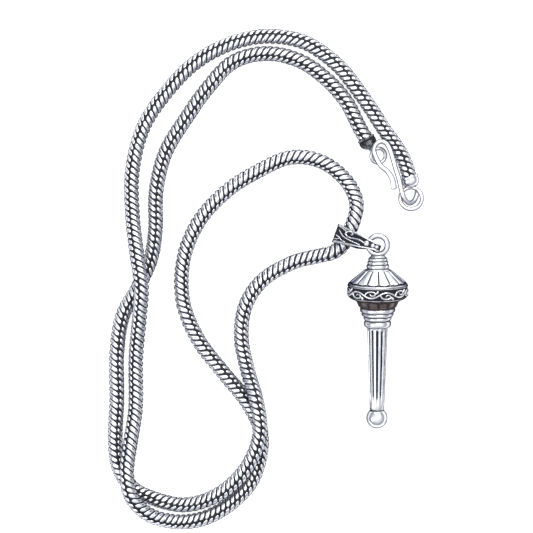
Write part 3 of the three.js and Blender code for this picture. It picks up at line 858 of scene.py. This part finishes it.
def shaft_shape(angle, y):
    """Flutes that grow shallow toward the ball and run out at both ends."""
    flute_share = 0.56
    depth = 0.00034
    side = repeat_side(angle + FLUTE_TURN, FLUTES)
    foot_fade = min(max((y - FLUTE_FOOT) / 0.004, 0), 1)
    top_fade = min(max((FLUTE_TOP - y) / 0.0005, 0), 1)
    strength = foot_fade * top_fade * (0.78 + 0.22 * min(1, (y + 0.030) / 0.012))
    groove = math.sqrt(1 - (side / flute_share) ** 2) if side < flute_share else 0.0
    return -depth * groove * strength, 1.0 - 0.9 * min(1, groove * 1.25) * strength


def band_radius(y):
    """The radius of the middle band's dark ground at a height."""
    return 0.00737 - 0.00013 * (abs(y - BAND_MIDDLE) / 0.0013) ** 3


def on_band(turn, y, lift):
    """A point on the band: turn in whole turns, lift over its ground."""
    a = 2 * math.pi * turn
    r = band_radius(y) + lift
    return (r * math.sin(a), y, r * math.cos(a))


def band_vine(origin):
    """A raised running vine: a wave with a curl and a leaf in each of its bends."""
    bends = 12
    wave_steps = 8 * bends
    vine_height, wave_reach, bend_reach = 0.00035, 0.00068, 0.00122
    curl_lift, low_lift = 0.00010, 0.00006
    # Along in bends, up in reaches, from the middle of the bend.
    curl = [(-0.42, 0.25), (-0.30, -0.45), (0.0, -0.75), (0.26, -0.50), (0.24, -0.10), (0.02, 0.05)]
    curl.append((-0.06, -0.25))
    leaf = [(0.30, -0.35), (0.42, -0.70), (0.47, -1.0)]

    wave = []
    for i in range(wave_steps + 1):
        t = i / wave_steps
        wave.append(on_band(t, vine_height + wave_reach * math.sin(math.pi * bends * t), low_lift))
    parts = [sweep("v", catmull(wave, 3), 0.00020, 10, 1.0, origin)]
    curl_radii = np.linspace(0.00022, 0.00013, 31)
    leaf_radii = 0.00010 + 0.00022 * np.sin(np.linspace(0.3, math.pi, 13))
    for k in range(bends):
        reach = bend_reach if k % 2 == 0 else -bend_reach
        line = [on_band((k + 0.5 + u) / bends, vine_height + reach * v, curl_lift) for u, v in curl]
        parts.append(sweep("v", catmull(line, 5), curl_radii, 10, 1.0, origin))
        line = [on_band((k + 0.5 + u) / bends, vine_height + reach * v, low_lift) for u, v in leaf]
        parts.append(sweep("v", catmull(line, 6), leaf_radii, 10, 1.0, origin))
    return join("band_vine", parts)


def neck_outline():
    """Three stacked rings, then a round top."""
    outline = bead_ring(0.00285, NECK_FOOT, 0.00700, 0.0003)
    outline += bead_ring(0.0026, 0.00700, 0.00790, 0.0003)
    outline += bead_ring(0.0024, 0.00790, 0.00870, 0.0003)
    return outline + fine([
        (0.0021, 0.0087, 0.3), (0.0017, 0.0092, 0.9), (0.0012, 0.0095, 1.0), (0.0003, 0.0096, 1.0),
    ])


def dome_outline():
    """A rounded rim, a groove and the cone that the gadroons lie on."""
    return fine([
        (0.0066, BAND_TOP, 0.1), (0.00732, 0.00206, 0.5), (0.00736, 0.00218, 1.0),
        (0.0073, 0.00232, 1.0), (0.0070, 0.00250, 0.10), (0.0068, 0.00260, 0.3),
        (0.0064, 0.00300, 1.0), (0.0052, 0.00395, 1.0), (0.0040, 0.00495, 1.0),
        (0.0031, 0.0057, 0.9), (0.0028, 0.0060, 0.3), (0.0026, 0.0062, 0.1),
    ], 0.00010)


def band_outline():
    """A rim above and below the dark ground that the vine lies on."""
    return fine([
        (0.0062, BAND_TOP, 0.1), (0.00728, 0.00201, 0.5), (0.00750, 0.00195, 1.0),
        (0.00754, 0.00185, 1.0), (0.00750, 0.00175, 0.6), (0.00734, 0.00169, 0.0),
        (0.00737, BAND_MIDDLE, 0.0), (0.00724, -0.0009, 0.0), (0.00722, -0.00098, 0.5),
        (0.00718, -0.00108, 1.0), (0.00705, -0.00120, 1.0), (0.0066, -0.00148, 0.3),
        (0.0058, -0.00152, 0.1),
    ])


def bowl_outline():
    """A cone that narrows downward, with a border above and below the panels."""
    return fine([
        (0.0042, -0.00372, 0.1), (0.00445, -0.00368, 0.5), (0.0046, -0.00350, 0.9),
        (0.00475, -0.0034, 1.0), (0.0053, -0.0021, 1.0), (0.00565, -0.00195, 0.9),
        (0.0058, -0.00175, 0.9), (0.00635, -0.00152, 0.4),
    ], 0.00008)


def shaft_outline():
    """A long taper from the knop to the ball."""
    return fine([
        (0.0023, -0.0087, 0.2), (0.00256, -0.0088, 0.8), (0.0025, -0.0100, 1.0),
        (0.0022, -0.0190, 1.0), (0.00185, -0.0283, 1.0), (0.0018, -0.0294, 0.5),
        (0.0015, -0.0297, 0.1),
    ], 0.0003)


def ball_outline():
    """A ball that ends at the shaft, with a dark seam there."""
    steps = 32
    seam_steps = 2
    sweep_angle = 2.38
    outline = [(2 * SMALLEST, BALL_HEIGHT - BALL_RADIUS, 1.0)]
    for i in range(1, steps + 1):
        a = -math.pi / 2 + i * sweep_angle / steps
        bright = 1.0 if i <= steps - seam_steps else 0.3
        outline.append((BALL_RADIUS * math.cos(a), BALL_HEIGHT + BALL_RADIUS * math.sin(a), bright))
    return outline


def make_mace():
    """The mace's ring and its stack of turned pieces, each with the vertices round it that it needs."""
    origin = Matrix.Translation(MACE_AT) @ Matrix.Rotation(MACE_TILT, 4, "X")

    def stacked(name, outline, segments, material, slot, shape=None, node=None):
        piece = turned(name, outline, segments, origin, shape)
        finish_piece(piece, material, "pendant", slot, node or "mace_" + name)

    ring_at = origin @ Matrix.Translation((0, RING_HEIGHT, 0))
    ring = torus("mace_loop", RING_RADIUS, RING_WIRE, ring_at, 96, 32)
    finish_piece(ring, wire_silver, "pendant", "bright_silver", "mace_ring")
    stacked("neck", neck_outline(), 96, carved_silver, "worn_silver")
    stacked("dome", dome_outline(), 24 * GADROONS, carved_silver, "worn_silver", dome_shape)
    stacked("band", band_outline(), 192, leaf_ground, "worn_silver")
    finish_piece(band_vine(origin), polished_silver, "pendant", "bright_silver")
    stacked("bowl", bowl_outline(), 20 * PANELS, dark_silver, "blackened_silver", bowl_shape)
    for which, radius, foot, top in COLLARS:
        outline = bead_ring(radius, foot, top, 0.0004, 0.1)
        node = "mace_collar_" + which
        stacked(which + "_collar", outline, 96, carved_silver, "worn_silver", node=node)
    stacked("knop", bead_ring(*KNOP, 0.0006, 0.1), 96, carved_silver, "bright_silver")
    stacked("shaft", shaft_outline(), 20 * FLUTES, carved_silver, "worn_silver", shaft_shape)
    stacked("ball", ball_outline(), 64, polished_silver, "bright_silver")
    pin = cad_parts["mace_core_pin"]
    pin.data.materials.clear()
    pin.data.materials.append(dark_silver)


# ---- Stage --------------------------------------------------------------------------------------------
def make_stage():
    """A pale floor that also glows a little, as a lit studio table does."""
    data = bpy.data.meshes.new("floor")
    corners = [(-1, -1), (1, -1), (1, 1), (-1, 1)]
    data.from_pydata([(x * FLOOR_HALF, y * FLOOR_HALF, 0) for x, y in corners], [], [(0, 1, 2, 3)])
    floor = bpy.data.objects.new("floor", data)
    bpy.context.collection.objects.link(floor)
    n = Nodes("floor")
    paper = n.noise(60.0, 3.0, 0.5)
    n.link(n.blend(paper, (0.40, 0.40, 0.40, 1.0), (0.42, 0.42, 0.42, 1.0)), n.shader.inputs["Base Color"])
    n.shader.inputs["Roughness"].default_value = 0.9
    n.shader.inputs["Specular IOR Level"].default_value = 0.1
    n.shader.inputs["Emission Color"].default_value = WHITE
    n.shader.inputs["Emission Strength"].default_value = 0.85
    data.materials.append(n.material)


def area_light(name, location, size, power, colour):
    """A round soft light that points at the origin."""
    data = bpy.data.lights.new(name, "AREA")
    data.shape = "DISK"
    data.size = size
    data.energy = power
    data.color = colour
    light = bpy.data.objects.new(name, data)
    light.location = location
    light.rotation_mode = "QUATERNION"
    light.rotation_quaternion = Vector(location).to_track_quat("Z", "Y")
    bpy.context.collection.objects.link(light)


def make_world():
    """Soft daylight: white overhead, falling to a cool grey at the horizon."""
    world = bpy.data.worlds.new("studio")
    bpy.context.scene.world = world
    world.use_nodes = True
    tree = world.node_tree
    where = tree.nodes.new("ShaderNodeTexCoord")
    split = tree.nodes.new("ShaderNodeSeparateXYZ")
    tree.links.new(where.outputs["Generated"], split.inputs[0])
    ramp = tree.nodes.new("ShaderNodeValToRGB")
    tree.links.new(split.outputs["Z"], ramp.inputs[0])
    stops = [
        (0.0, (0.34, 0.35, 0.38, 1)), (0.35, (0.38, 0.40, 0.46, 1)),
        (0.65, (0.72, 0.75, 0.82, 1)), (0.88, WHITE),
    ]
    while len(ramp.color_ramp.elements) < len(stops):
        ramp.color_ramp.elements.new(0.5)
    for element, (at, colour) in zip(ramp.color_ramp.elements, stops):
        element.position = at
        element.color = colour
    tree.links.new(ramp.outputs[0], tree.nodes["Background"].inputs["Color"])
    tree.nodes["Background"].inputs["Strength"].default_value = 1.0


chain, chain_path = make_chain()
finish_piece(chain, chain_silver, "chain", "oxidised_silver", "snake_chain")
fittings = make_caps()
make_clasp()
make_bail()
make_mace()
make_stage()
for light in LIGHTS:
    area_light(*light)
make_world()
bpy.context.scene.view_settings.view_transform = "Standard"
